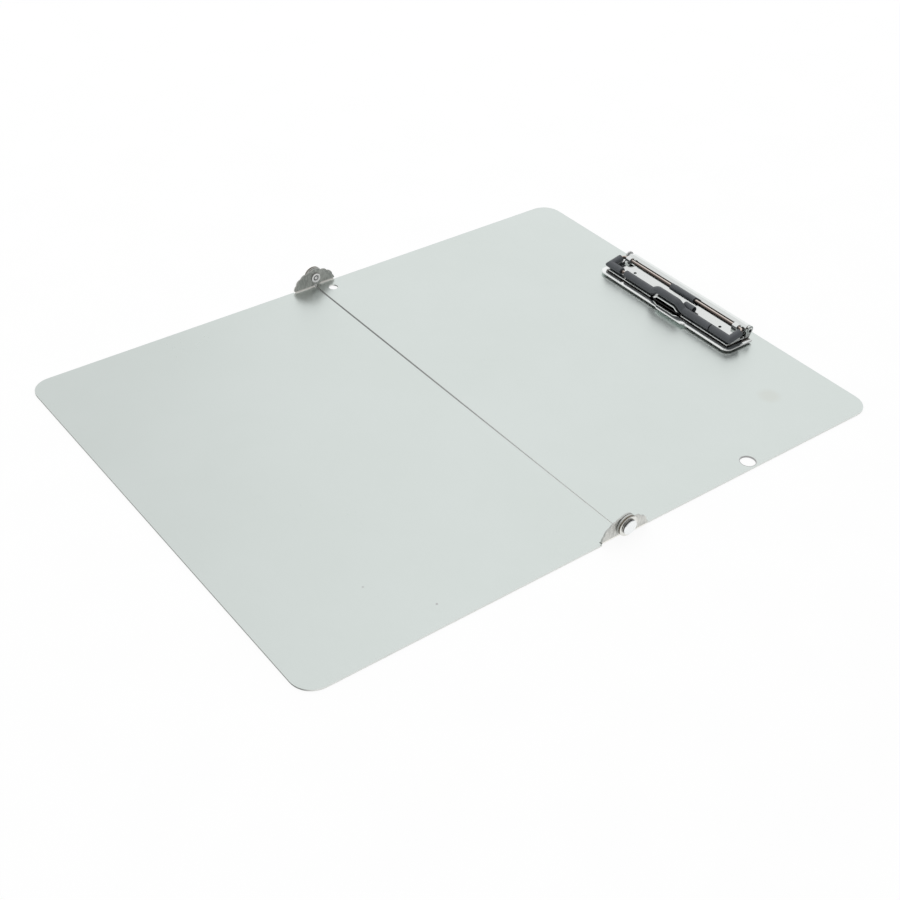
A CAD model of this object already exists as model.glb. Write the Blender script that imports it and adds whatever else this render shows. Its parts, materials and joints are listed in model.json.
# Looks of the folding aluminium clipboard: the finish of every piece, the studio and the camera.
# Metres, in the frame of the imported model: X along the open board, Y across it, Z up.
import json
import math

import bpy
from mathutils import Matrix, Vector


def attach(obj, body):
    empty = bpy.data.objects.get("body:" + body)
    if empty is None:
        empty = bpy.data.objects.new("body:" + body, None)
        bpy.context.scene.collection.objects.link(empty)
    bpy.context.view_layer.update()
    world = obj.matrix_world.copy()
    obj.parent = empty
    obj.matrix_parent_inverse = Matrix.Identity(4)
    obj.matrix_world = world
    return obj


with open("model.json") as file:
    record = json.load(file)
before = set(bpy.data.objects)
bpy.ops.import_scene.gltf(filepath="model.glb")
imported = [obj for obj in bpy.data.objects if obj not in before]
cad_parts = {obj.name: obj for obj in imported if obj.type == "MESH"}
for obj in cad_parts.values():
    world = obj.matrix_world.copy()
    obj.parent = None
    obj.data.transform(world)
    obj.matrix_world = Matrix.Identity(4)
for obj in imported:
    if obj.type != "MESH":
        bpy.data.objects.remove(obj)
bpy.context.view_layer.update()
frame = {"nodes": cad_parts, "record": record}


# ---- Places and sizes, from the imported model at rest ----

MM = 0.001


def box(node):
    """Low and high corner of a node"""
    corners = frame["nodes"][node].bound_box
    return [tuple(limit(axis) for axis in zip(*corners)) for limit in (min, max)]


JOINT_AT = {joint["name"]: joint["pos_m"] for joint in frame["record"]["behaviour"]["joints"]}
HANG_HOLE = next(mount for mount in frame["record"]["mounts"] if mount["name"] == "hang_hole")
SHEET_T = HANG_HOLE["dims"]["length_mm"] * MM
HOLE_R = HANG_HOLE["dims"]["r_mm"] * MM
HOLE_X, HOLE_Y, _ = HANG_HOLE["pos_m"]
BOARD_HALF = box("left_panel")[1][1]
WASHER_OUT = box("hinge_washer_far")[1][1]
PIVOT_Z = JOINT_AT["fold"][2]
PIN_X, CLIP_Y, _ = JOINT_AT["jaw_tilt"]
BAIL_X = JOINT_AT["bail_lift"][0]

# The jaw plate: a sloping floor, its core, inside a turned-out rim with a thumb tab in front
RIM_W = 3.6 * MM
TAB_OUT = 1.5 * MM
PLATE_LOW, PLATE_HIGH = box("jaw_plate")
CORE_X = PLATE_LOW[0] + TAB_OUT + RIM_W
CORE_HALF = PLATE_HIGH[1] - CLIP_Y - RIM_W
FLOOR_TOP = SHEET_T + 2.2 * MM
FLOOR_SLOPE = math.tan(math.radians(10.0))


# ---- Node helpers ----

class Nodes:
    """Short calls that build one node tree. A value is a number, a colour or another socket."""

    def __init__(self, tree):
        self.tree = tree
        tree.nodes.clear()

    def add(self, kind, inputs, **settings):
        node = self.tree.nodes.new(kind)
        for key, value in settings.items():
            setattr(node, key, value)
        for key, value in inputs.items():
            if isinstance(value, bpy.types.NodeSocket):
                self.tree.links.new(value, node.inputs[key])
            else:
                node.inputs[key].default_value = value
        return node

    def math(self, operation, a, b=0.0):
        return self.add("ShaderNodeMath", {0: a, 1: b}, operation=operation).outputs[0]

    def fade(self, value, low, high, to_low=0.0, to_high=1.0):
        """to_low where value is at low, to_high where it is at high, smooth between them"""
        inputs = {0: value, 1: low, 2: high, 3: to_low, 4: to_high}
        return self.add("ShaderNodeMapRange", inputs,
                        interpolation_type="SMOOTHSTEP").outputs[0]

    def edge(self, value, at, width):
        """0 below at and 1 above it, smooth over this width; with a negative width 1 below it"""
        return self.fade(value, at - width / 2, at + width / 2)

    def band(self, value, low, high, width):
        """1 between low and high and 0 outside them, with both edges smooth over this width"""
        return self.math("MULTIPLY", self.edge(value, low, width), self.edge(value, high, -width))

    def mix(self, factor, a, b):
        return self.add("ShaderNodeMix", {0: factor, 6: a, 7: b}, data_type="RGBA").outputs[2]

    def blend(self, factor, a, b):
        return self.add("ShaderNodeMix", {0: factor, 2: a, 3: b}, data_type="FLOAT").outputs[0]

    def place(self):
        """Coordinates fixed to the piece, which are the model's at rest"""
        return self.add("ShaderNodeTexCoord", {}).outputs["Object"]

    def facing(self):
        """The X, Y and Z of the direction that the surface faces, fixed to the piece"""
        return self.axes(self.add("ShaderNodeTexCoord", {}).outputs["Normal"])

    def axes(self, vector):
        return self.add("ShaderNodeSeparateXYZ", {0: vector}).outputs

    def length(self, vector):
        return self.add("ShaderNodeVectorMath", {0: vector}, operation="LENGTH").outputs["Value"]

    def stretched(self, vector, stretch, turn=0.0):
        inputs = {"Vector": vector, "Rotation": (0.0, 0.0, turn), "Scale": stretch}
        return self.add("ShaderNodeMapping", inputs).outputs[0]

    def noise(self, vector, scale, detail=2.0, roughness=0.5):
        inputs = {"Vector": vector, "Scale": scale, "Detail": detail, "Roughness": roughness}
        return self.add("ShaderNodeTexNoise", inputs).outputs[0]

    def bump(self, height, depth=1.0, strength=1.0, normal=None):
        inputs = {"Height": height, "Distance": depth, "Strength": strength}
        if normal:
            inputs["Normal"] = normal
        return self.add("ShaderNodeBump", inputs).outputs[0]

    def surface(self, inputs):
        shader = self.add("ShaderNodeBsdfPrincipled", inputs)
        self.add("ShaderNodeOutputMaterial", {"Surface": shader.outputs[0]})


def new_material(name):
    material = bpy.data.materials.new(name)
    material.use_nodes = True
    return material, Nodes(material.node_tree)


def rgb(red, green, blue):
    return (red, green, blue, 1.0)


def grey(value):
    return rgb(value, value, value)


def scaled(colour, factor):
    return rgb(*(min(1.0, factor * channel) for channel in colour[:3]))


# ---- The sheet ----

# Small marks on the sheet: x, y, radius and colour
MARKS = (
    (-86.1 * MM, -103.4 * MM, 0.7 * MM, grey(0.45)),
    (-103.7 * MM, -79.7 * MM, 0.6 * MM, grey(0.48)),
    (119.6 * MM, -81.7 * MM, 6.8 * MM, rgb(0.655, 0.690, 0.655)),
)
BURR_W = 0.5 * MM
BEND_TOP = SHEET_T + 0.75 * MM


def spot(n, place, x, y, radius, solid=0.35, strength=0.9):
    """strength in the middle of a round spot on the sheet and 0 outside it; solid is the share
    of the radius where the fade begins"""
    offset = n.add("ShaderNodeVectorMath", {0: place, 1: (x, y, SHEET_T)}, operation="SUBTRACT")
    return n.fade(n.length(offset.outputs[0]), solid * radius, radius, strength, 0.0)


def sheet_face(n, place, patches):
    """Soft patches, fine scratches and the small marks"""
    scuffs = n.noise(n.stretched(place, (1.0, 30.0, 1.0), turn=0.5), 90.0, roughness=0.7)
    scratched = n.math("MULTIPLY", n.fade(scuffs, 0.70, 0.78), 0.10)
    colour = n.mix(n.fade(patches, 0.3, 0.7), rgb(0.668, 0.719, 0.696), rgb(0.688, 0.738, 0.718))
    colour = n.mix(scratched, colour, grey(0.52))
    for x, y, radius, tone in MARKS:
        colour = n.mix(spot(n, place, x, y, radius), colour, tone)
    return colour


def sheet_edge(n, x, across):
    """Sheared edges: dull on the board's short ends, brighter on the long sides and the fold"""
    short_end = n.math("MULTIPLY", n.edge(across, 0.75, -0.4),
                       n.edge(n.math("ABSOLUTE", x), 1.5 * MM, 1.0 * MM))
    return n.mix(short_end, rgb(0.78, 0.79, 0.77), rgb(0.30, 0.31, 0.30))


def fold_dirt(n, x, y, colour):
    """The burred edges along the fold, which gather dirt towards the far end"""
    beside_fold = n.edge(n.math("ABSOLUTE", x), 0.52 * MM, -0.2 * MM)
    amount = n.fade(y, -BOARD_HALF, 20.0 * MM, 0.05, 0.7)
    tone = n.mix(n.edge(y, 0.0, 180.0 * MM), grey(0.55), grey(0.16))
    return n.mix(n.math("MULTIPLY", beside_fold, amount), colour, tone)


def ear_tone(n, place, y, across):
    """A worn streaky face with a sheared edge, which is darker on the far ears"""
    streaks = n.noise(n.stretched(place, (1.0, 1.0, 0.25)), 1100.0, 3.0, 0.7)
    face = n.mix(n.fade(streaks, 0.3, 0.7), rgb(0.52, 0.525, 0.50), rgb(0.76, 0.765, 0.73))
    rim = n.mix(n.edge(y, 0.0, 100.0 * MM), rgb(0.60, 0.61, 0.59), rgb(0.42, 0.42, 0.40))
    return n.mix(n.edge(across, 0.4, -0.2), face, rim)


def aluminium_sheet():
    """Bare rolled sheet, from its faces and cut edges to the fold and the hinge ears"""
    material, n = new_material("aluminium_sheet")
    place = n.place()
    x, y, z = n.axes(place)
    across = n.math("ABSOLUTE", n.facing()[1])
    lines = n.noise(n.stretched(place, (12.0, 1.0, 12.0)), 260.0, 3.0, 0.6)
    grain = n.noise(place, 2600.0, roughness=0.6)
    patches = n.noise(place, 14.0, 3.0, 0.6)

    cut_edge = n.band(z, 0.04 * MM, SHEET_T - 0.04 * MM, 0.04 * MM)
    colour = n.mix(cut_edge, sheet_face(n, place, patches), sheet_edge(n, x, across))
    burr = spot(n, place, HOLE_X, HOLE_Y, HOLE_R + BURR_W, solid=0.88, strength=1.0)
    colour = fold_dirt(n, x, y, n.mix(burr, colour, grey(0.40)))

    # The ears stand on a bend that mirrors as a bright line
    ear = n.edge(z, BEND_TOP, 0.3 * MM)
    bend = n.math("MULTIPLY", n.edge(z, SHEET_T + 0.1 * MM, 0.1 * MM),
                  n.edge(z, SHEET_T + 0.825 * MM, -0.25 * MM))
    colour = n.mix(ear, colour, ear_tone(n, place, y, across))
    colour = n.mix(bend, colour, rgb(0.97, 0.95, 0.90))

    roughness = n.math("ADD", n.fade(lines, 0.25, 0.75, 0.27, 0.33),
                       n.fade(patches, 0.3, 0.7, 0.0, 0.03))
    worn = n.math("MAXIMUM", n.math("MAXIMUM", cut_edge, ear), bend)
    roughness = n.math("ADD", roughness, n.math("MULTIPLY", worn, 0.2))
    normal = n.bump(grain, 0.002 * MM, 0.3, n.bump(lines, 0.004 * MM, 0.35))
    n.surface({"Base Color": colour, "Metallic": 1.0, "Roughness": roughness, "Normal": normal})
    return material


# ---- Metal and plastic parts ----

def polished_metal(name, colour, roughness, smudge=0.06, side=None, shade=None, extra=None,
                   metallic=1.0):
    """Plated or turned metal: fine drawing lines, smudges in the gloss and faint dull spots.
    side is the colour of walls that don't face along Y, shade the colour of all that doesn't
    face up, and extra a function that adds what only one piece has."""
    material, n = new_material(name)
    place = n.place()
    smudges = n.noise(place, 180.0, 3.0, 0.6)
    lines = n.noise(n.stretched(place, (9.0, 1.0, 9.0)), 700.0, roughness=0.6)
    dull_spots = n.fade(n.noise(place, 900.0), 0.62, 0.72)
    tone = n.mix(n.math("MULTIPLY", dull_spots, 0.35), colour, scaled(colour, 0.72))
    if side:
        tone = n.mix(n.fade(n.math("ABSOLUTE", n.facing()[1]), 0.2, 0.6), side, tone)
    if shade:
        tone = n.mix(n.fade(n.facing()[2], 0.78, 0.97), shade, tone)
    gloss = n.fade(smudges, 0.3, 0.7, roughness, roughness + smudge)
    normal = n.bump(lines, 0.002 * MM, 0.4)
    if extra:
        tone, gloss, normal = extra(n, place, tone, gloss, normal)
    n.surface({"Base Color": tone, "Metallic": metallic, "Roughness": gloss, "Normal": normal})
    return material


def turned_head(n, place, tone, gloss, normal):
    """Lighter foot of the near hinge rivet's head, beside the washer"""
    foot = n.edge(n.axes(place)[1], -WASHER_OUT - 0.25 * MM, 0.2 * MM)
    return n.mix(foot, tone, rgb(0.42, 0.42, 0.41)), gloss, normal


def peened_tail(n, place, tone, gloss, normal):
    """Dark ring pressed into the end of a peened rivet on the fold axis"""
    x, _, z = n.axes(place)
    from_axis = n.add("ShaderNodeCombineXYZ", {0: x, 1: n.math("SUBTRACT", z, PIVOT_Z)})
    ring = n.band(n.length(from_axis.outputs[0]), 0.8 * MM, 1.4 * MM, 0.2 * MM)
    return n.mix(ring, tone, grey(0.16)), gloss, normal


# Zones of the jaw plate's finish: X, distance from the middle of the clip, or height
RIM_X = CORE_X - 1.5 * MM
RIM_HALF = CORE_HALF + 1.5 * MM
RIM_TOP = SHEET_T + 1.6 * MM
GROOVE_TOP = SHEET_T + 1.4 * MM
DISH_X = CORE_X + 3.5 * MM
HOOD_BACK = CORE_X + 2.5 * MM
HOOD_HALF = 10.75 * MM
EAR_X = PIN_X - 2.4 * MM
FAR_EAR_Y = CLIP_Y + CORE_HALF - 0.4 * MM
# The rim falls by this share of its width, and the dish rises by this times the distance squared
RIM_FALL = 0.17
DISH_RISE = 50.0


def pressed_plate(n, place, tone, gloss, normal):
    """Forms of the jaw plate that are too slight for the solid, which are the crowned rim with
    its rolled edge and the dished floor, then the groove, the hood's inside and the far ear"""
    x, y, z = n.axes(place)
    aside = n.math("ABSOLUTE", n.math("SUBTRACT", y, CLIP_Y))
    in_front = n.math("MINIMUM", n.math("SUBTRACT", x, RIM_X), 0.0)
    beyond = n.math("MAXIMUM", n.math("SUBTRACT", aside, RIM_HALF), 0.0)
    inward = n.math("SUBTRACT", in_front, beyond)
    on_rim = n.edge(inward, -0.075 * MM, -0.05 * MM)
    crown = n.math("MULTIPLY", inward, RIM_FALL)
    behind = n.math("MAXIMUM", n.math("SUBTRACT", x, DISH_X), 0.0)
    dish = n.math("MULTIPLY", n.math("POWER", behind, 2.0), DISH_RISE)
    rolled = n.math("MULTIPLY", on_rim, n.math("SUBTRACT", RIM_TOP, z))
    normal = n.bump(n.math("ADD", n.math("ADD", crown, dish), rolled), normal=normal)

    off_rim = n.math("SUBTRACT", 1.0, on_rim)
    groove = n.math("MULTIPLY", off_rim, n.edge(z, GROOVE_TOP, -0.2 * MM))
    tone = n.mix(groove, tone, rgb(0.19, 0.175, 0.165))
    hood_mouth = n.math("MULTIPLY", off_rim, n.edge(z, FLOOR_TOP + 0.1 * MM, -0.1 * MM))
    hood_floor = n.math("MAXIMUM", n.edge(x, CORE_X, 0.2 * MM), hood_mouth)
    under_hood = n.math("MULTIPLY", n.edge(x, HOOD_BACK, -0.2 * MM),
                        n.edge(aside, HOOD_HALF, -0.3 * MM))
    tone = n.mix(n.math("MULTIPLY", hood_floor, under_hood), tone, grey(0.05))

    far_ear = n.math("MULTIPLY", n.edge(x, EAR_X, 0.2 * MM), n.edge(y, FAR_EAR_Y, 0.2 * MM))
    tone = n.mix(far_ear, tone, grey(0.96))
    return tone, n.math("ADD", gloss, n.math("MULTIPLY", far_ear, 0.5)), normal


def moulded_plastic(name, colour, roughness):
    """Satin moulded plastic: fine grain, slight patches in colour and rubbed high spots"""
    material, n = new_material(name)
    place = n.place()
    patches = n.noise(place, 120.0, 3.0, 0.6)
    grain = n.noise(place, 3200.0, 3.0, 0.65)
    tone = n.mix(n.fade(patches, 0.35, 0.75, 0.0, 0.5), colour, scaled(colour, 1.5))
    gloss = n.fade(patches, 0.3, 0.7, roughness - 0.04, roughness + 0.06)
    normal = n.bump(grain, 0.012 * MM, 0.5)
    n.surface({"Base Color": tone, "Roughness": gloss, "Normal": normal, "Specular IOR Level": 0.5})
    return material


METALS = {
    "rivet_steel": dict(colour=rgb(0.90, 0.92, 0.92), roughness=0.20,
                        side=rgb(0.045, 0.043, 0.04), extra=turned_head),
    "washer_steel": dict(colour=rgb(0.80, 0.80, 0.76), roughness=0.26,
                         side=rgb(0.15, 0.13, 0.10)),
    "peened_steel": dict(colour=rgb(0.96, 0.96, 0.95), roughness=0.40,
                         side=rgb(0.25, 0.25, 0.24), extra=peened_tail, metallic=0.0),
    "chrome_steel": dict(colour=rgb(0.80, 0.825, 0.815), roughness=0.08, smudge=0.04),
    "chrome_plate": dict(colour=rgb(0.86, 0.88, 0.87), roughness=0.10, smudge=0.05,
                         extra=pressed_plate),
    "chrome_wire": dict(colour=rgb(0.66, 0.58, 0.53), roughness=0.10,
                        shade=rgb(0.11, 0.09, 0.08)),
    "spring_steel": dict(colour=rgb(0.42, 0.42, 0.43), roughness=0.28),
}
PLASTICS = {
    "nylon": dict(colour=rgb(0.62, 0.61, 0.57), roughness=0.42),
    "black_plastic": dict(colour=rgb(0.066, 0.072, 0.080), roughness=0.36),
}
FINISHES = {"aluminium_sheet": aluminium_sheet()}
for finish, looks in METALS.items():
    FINISHES[finish] = polished_metal(finish, **looks)
for finish, looks in PLASTICS.items():
    FINISHES[finish] = moulded_plastic(finish, **looks)

# Nodes whose finish differs from that of their slot
OWN_FINISH = {
    "hinge_washer_near": "washer_steel",
    "hinge_washer_far": "washer_steel",
    "hinge_rivet_far": "peened_steel",
    "clip_pin_left": "chrome_steel",
    "clip_pin_right": "chrome_steel",
    "jaw_plate": "chrome_plate",
}
for part in frame["record"]["subparts"]:
    finish = OWN_FINISH.get(part["node"], part["material_slot"])
    for material_slot in frame["nodes"][part["node"]].material_slots:
        material_slot.material = FINISHES[finish]


# ---- Rear lip of the jaw plate ----

PLATE_BODY = next(name for name, nodes in frame["record"]["behaviour"]["bodies"].items()
                  if "jaw_plate" in nodes)
LIP_START = BAIL_X - 1.1 * MM
LIP_END = BAIL_X + 0.8 * MM
LIP_HALF = CORE_HALF - 0.4 * MM
LIP_T = 0.7 * MM
LIP_EDGE_T = 0.49 * MM
LIP_CURL = 0.25 * MM
LIP_STEPS = 6


def lip_section(share):
    """Four corners across the strip, this share of the way from its front to its rear edge"""
    x = LIP_START + (LIP_END - LIP_START) * share
    top = FLOOR_TOP + (x - CORE_X) * FLOOR_SLOPE + LIP_CURL * share ** 2
    under = top - (LIP_T if share < 1.0 else LIP_EDGE_T)
    left, right = CLIP_Y + LIP_HALF, CLIP_Y - LIP_HALF
    return [(x, right, under), (x, left, under), (x, left, top), (x, right, top)]


def add_plate_lip():
    """The thin strip of the jaw plate's floor that runs on under the rear wire"""
    sections = [lip_section(step / LIP_STEPS) for step in range(LIP_STEPS + 1)]
    points = [corner for section in sections for corner in section]
    last = 4 * LIP_STEPS
    faces = [(0, 1, 2, 3), (last + 3, last + 2, last + 1, last)]
    for first in range(0, last, 4):
        for corner in range(4):
            following = (corner + 1) % 4
            faces.append((first + following, first + corner,
                          first + 4 + corner, first + 4 + following))
    mesh = bpy.data.meshes.new("jaw_plate_lip")
    mesh.from_pydata(points, [], faces)
    mesh.materials.append(FINISHES["chrome_plate"])
    lip = bpy.data.objects.new("jaw_plate_lip", mesh)
    bpy.context.scene.collection.objects.link(lip)
    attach(lip, PLATE_BODY)


# ---- Camera ----

AZIMUTH = math.radians(-38.655)
ELEVATION = math.radians(37.93)
ROLL = math.radians(2.487)
DISTANCE = 622.2 * MM
TARGET = Vector((-24.93 * MM, -30.82 * MM, SHEET_T))
FOCAL_MM = 57.96
SENSOR_MM = 36.0


def add_camera():
    back = Vector((math.sin(AZIMUTH) * math.cos(ELEVATION),
                   -math.cos(AZIMUTH) * math.cos(ELEVATION), math.sin(ELEVATION)))
    level = Vector((0.0, 0.0, 1.0)).cross(back).normalized()
    upright = back.cross(level)
    right = level * math.cos(ROLL) + upright * math.sin(ROLL)
    up = upright * math.cos(ROLL) - level * math.sin(ROLL)
    camera = bpy.data.objects.new("camera", bpy.data.cameras.new("camera"))
    camera.data.lens = FOCAL_MM
    camera.data.sensor_width = SENSOR_MM
    camera.data.clip_start = 10.0 * MM
    turn = Matrix((right, up, back)).transposed().to_4x4()
    camera.matrix_world = Matrix.Translation(TARGET + DISTANCE * back) @ turn
    bpy.context.scene.collection.objects.link(camera)
    bpy.context.scene.camera = camera


# ---- Studio ----

# Brightness of the world, by what sees it
SEEN_WHITE = 1.0
WALL_LEFT, WALL_RIGHT = 0.85, 1.02
NEAR_ROOM = 0.42
SOFT_LIGHT = 0.70
# The wall grows brighter between these bearings, counted from +Y towards +X
WALL_TURN = (math.radians(24.0), math.radians(28.5))


def seen_directly(n):
    """1 on camera, mirror and see-through rays, 0 on the rays that only light things"""
    rays = n.add("ShaderNodeLightPath", {}).outputs
    seen = n.math("ADD", rays["Is Camera Ray"], rays["Is Glossy Ray"])
    return n.math("MINIMUM", n.math("ADD", seen, rays["Is Transmission Ray"]), 1.0), rays


def set_world():
    """White all round for the camera. In the metal it is a soft wall of light behind the board,
    a little weaker to the left, and a dimmer room on the near side."""
    world = bpy.data.worlds.new("studio")
    world.use_nodes = True
    n = Nodes(world.node_tree)
    seen, rays = seen_directly(n)
    x, y, z = n.axes(n.add("ShaderNodeTexCoord", {}).outputs["Generated"])
    bearing = n.math("ARCTAN2", x, y)
    wall = n.fade(bearing, *WALL_TURN, WALL_LEFT, WALL_RIGHT)
    behind_board = n.fade(y, -0.05, 0.35)
    overhead = n.fade(z, 0.75, 0.95)
    room = n.blend(n.math("MAXIMUM", behind_board, overhead), NEAR_ROOM, wall)
    mirrored = n.blend(rays["Is Camera Ray"], room, SEEN_WHITE)
    strength = n.blend(seen, SOFT_LIGHT, mirrored)
    background = n.add("ShaderNodeBackground", {"Color": grey(1.0), "Strength": strength})
    n.add("ShaderNodeOutputWorld", {"Surface": background.outputs[0]})
    bpy.context.scene.world = world


FLOOR_SIZE = 8.0
FLOOR_GAP = 0.1 * MM
FLOOR_GLOW = 1.02
GLOW_SHARE = 0.88


def add_floor():
    """White table: mostly its own white where it is seen, so that only the shadow darkens it"""
    bpy.ops.mesh.primitive_plane_add(size=FLOOR_SIZE, location=(0.0, 0.0, -FLOOR_GAP))
    floor = bpy.context.object
    floor.name = "floor"
    material, n = new_material("table_white")
    seen, _ = seen_directly(n)
    mottle = n.fade(n.noise(n.place(), 30.0, 3.0), 0.3, 0.7, 0.86, 0.90)
    paint = n.add("ShaderNodeCombineColor", {0: mottle, 1: mottle, 2: mottle})
    matte = n.add("ShaderNodeBsdfDiffuse", {"Color": paint.outputs[0]})
    glow = n.add("ShaderNodeEmission", {"Color": grey(1.0), "Strength": FLOOR_GLOW})
    blend = n.add("ShaderNodeMixShader", {0: n.math("MULTIPLY", seen, GLOW_SHARE),
                                          1: matte.outputs[0], 2: glow.outputs[0]})
    n.add("ShaderNodeOutputMaterial", {"Surface": blend.outputs[0]})
    floor.data.materials.append(material)


def add_lamp(name, place, size, brightness):
    """Square soft lamp that faces the middle of the board; brightness 1 looks white"""
    lamp = bpy.data.objects.new(name, bpy.data.lights.new(name, "AREA"))
    lamp.data.size = size
    lamp.data.energy = brightness * math.pi * size * size
    lamp.location = place
    lamp.visible_glossy = False
    lamp.rotation_euler = (-Vector(place)).to_track_quat("-Z", "Y").to_euler()
    bpy.context.scene.collection.objects.link(lamp)


add_plate_lip()
add_camera()
set_world()
add_floor()
add_lamp("key", place=(0.55, 0.75, 1.10), size=1.2, brightness=1.25)
add_lamp("fill", place=(-1.10, -0.35, 0.90), size=1.0, brightness=0.70)
bpy.context.scene.view_settings.view_transform = "Standard"
